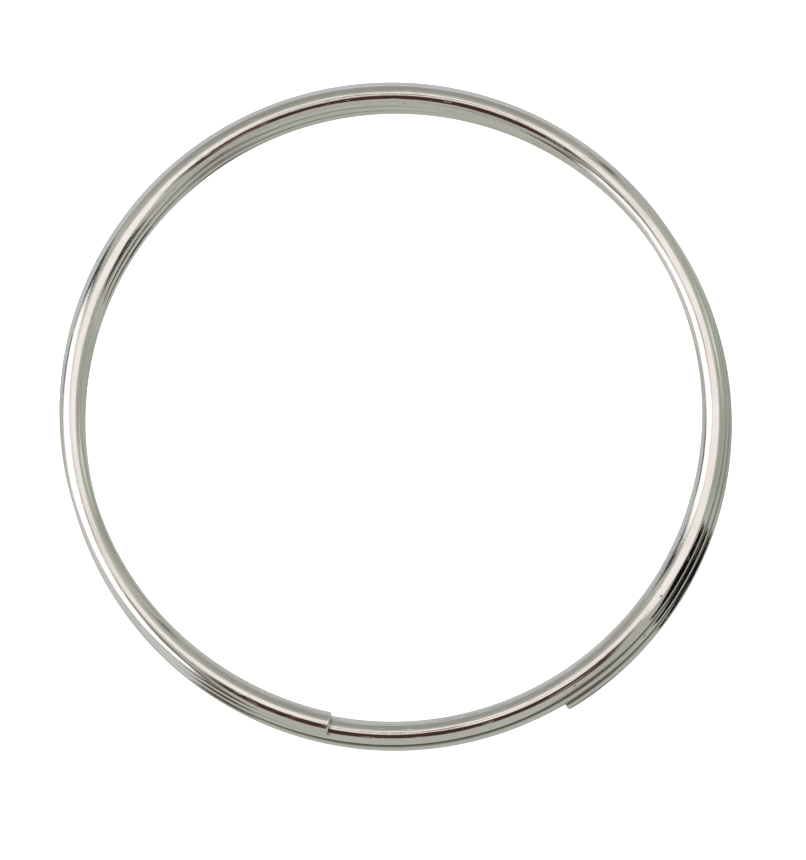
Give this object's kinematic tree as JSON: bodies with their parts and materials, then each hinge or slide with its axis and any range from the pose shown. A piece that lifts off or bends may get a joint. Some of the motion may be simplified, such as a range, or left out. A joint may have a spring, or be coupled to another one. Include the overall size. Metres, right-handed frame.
{
  "type": "split key ring",
  "caption": "Split key ring wound from round plated spring wire, whose two free ends pry away from the coil so that keys can be threaded on.",
  "frame": {"origin": "the middle of the ring's outline, on the surface it lies on", "axes": "+Z is the axis of the coil, up through the ring towards the front wire end; -Y points to the side of the ring where both wire ends are; +X is to the right as seen from above with +Y away"},
  "size_m": [0.0606, 0.0602, 0.0083],
  "materials": {
    "plated_wire": "bright nickel plate over drawn spring steel wire, lightly scratched"
  },
  "bodies": {
    "root": {"mid_coil": "plated_wire"},
    "front_tip": {"front_tip": "plated_wire"},
    "front_stretch_2": {"front_stretch_2": "plated_wire"},
    "front_stretch_3": {"front_stretch_3": "plated_wire"},
    "front_stretch_4": {"front_stretch_4": "plated_wire"},
    "front_stretch_5": {"front_stretch_5": "plated_wire"},
    "front_stretch_6": {"front_stretch_6": "plated_wire"},
    "back_stretch_6": {"back_stretch_6": "plated_wire"},
    "back_stretch_5": {"back_stretch_5": "plated_wire"},
    "back_stretch_4": {"back_stretch_4": "plated_wire"},
    "back_stretch_3": {"back_stretch_3": "plated_wire"},
    "back_stretch_2": {"back_stretch_2": "plated_wire"},
    "back_tip": {"back_tip": "plated_wire"}
  },
  "joints": [
    {"name": "front_open", "type": "hinge", "parent": "root", "child": "front_stretch_6", "pos_m": [0.00499, 0.02854, 0.00618], "axis": [0.1889, 0.982, 0], "range_deg": [0, 2.2], "stiffness_Nm_per_rad": 12},
    {"name": "front_flex_5", "type": "hinge", "parent": "front_stretch_6", "child": "front_stretch_5", "pos_m": [-0.00988, 0.02747, 0.00635], "axis": [-0.3268, 0.9451, 0], "range_deg": [0, 2.2]},
    {"name": "front_flex_4", "type": "hinge", "parent": "front_stretch_5", "child": "front_stretch_4", "pos_m": [-0.02221, 0.01913, 0.00653], "axis": [-0.7555, 0.6552, 0], "range_deg": [0, 2.2]},
    {"name": "front_flex_3", "type": "hinge", "parent": "front_stretch_4", "child": "front_stretch_3", "pos_m": [-0.02871, 0.00576, 0.00671], "axis": [-0.9819, 0.1895, 0], "range_deg": [0, 2.2]},
    {"name": "front_flex_2", "type": "hinge", "parent": "front_stretch_3", "child": "front_stretch_2", "pos_m": [-0.02765, -0.00905, 0.00689], "axis": [-0.9449, -0.3274, 0], "range_deg": [0, 2.2]},
    {"name": "front_flex_1", "type": "hinge", "parent": "front_stretch_2", "child": "front_tip", "pos_m": [-0.01933, -0.02133, 0.00707], "axis": [-0.657, -0.7539, 0], "range_deg": [0, 2.2]},
    {"name": "back_open", "type": "hinge", "parent": "root", "child": "back_stretch_6", "pos_m": [-0.01481, 0.02501, 0.00212], "axis": [-0.5071, 0.8619, 0], "range_deg": [0, 2.2], "stiffness_Nm_per_rad": 12},
    {"name": "back_flex_5", "type": "hinge", "parent": "back_stretch_6", "child": "back_stretch_5", "pos_m": [-0.00027, 0.02903, 0.00194], "axis": [-0.0087, 1, 0], "range_deg": [0, 2.2]},
    {"name": "back_flex_4", "type": "hinge", "parent": "back_stretch_5", "child": "back_stretch_4", "pos_m": [0.01436, 0.02525, 0.00176], "axis": [0.4918, 0.8707, 0], "range_deg": [0, 2.2]},
    {"name": "back_flex_3", "type": "hinge", "parent": "back_stretch_4", "child": "back_stretch_3", "pos_m": [0.02516, 0.01467, 0.00159], "axis": [0.8609, 0.5088, 0], "range_deg": [0, 2.2]},
    {"name": "back_flex_2", "type": "hinge", "parent": "back_stretch_3", "child": "back_stretch_2", "pos_m": [0.02923, 0.0001, 0.00141], "axis": [0.9999, 0.0109, 0], "range_deg": [0, 2.2]},
    {"name": "back_flex_1", "type": "hinge", "parent": "back_stretch_2", "child": "back_tip", "pos_m": [0.02548, -0.01455, 0.00123], "axis": [0.8716, -0.4902, 0], "range_deg": [0, 2.2]}
  ],
  "couplings": [
    {"joint": "front_flex_5", "follows": "front_open", "ratio": 1},
    {"joint": "front_flex_4", "follows": "front_open", "ratio": 1},
    {"joint": "front_flex_3", "follows": "front_open", "ratio": 1},
    {"joint": "front_flex_2", "follows": "front_open", "ratio": 1},
    {"joint": "front_flex_1", "follows": "front_open", "ratio": 1},
    {"joint": "back_flex_5", "follows": "back_open", "ratio": 1},
    {"joint": "back_flex_4", "follows": "back_open", "ratio": 1},
    {"joint": "back_flex_3", "follows": "back_open", "ratio": 1},
    {"joint": "back_flex_2", "follows": "back_open", "ratio": 1},
    {"joint": "back_flex_1", "follows": "back_open", "ratio": 1}
  ]
}
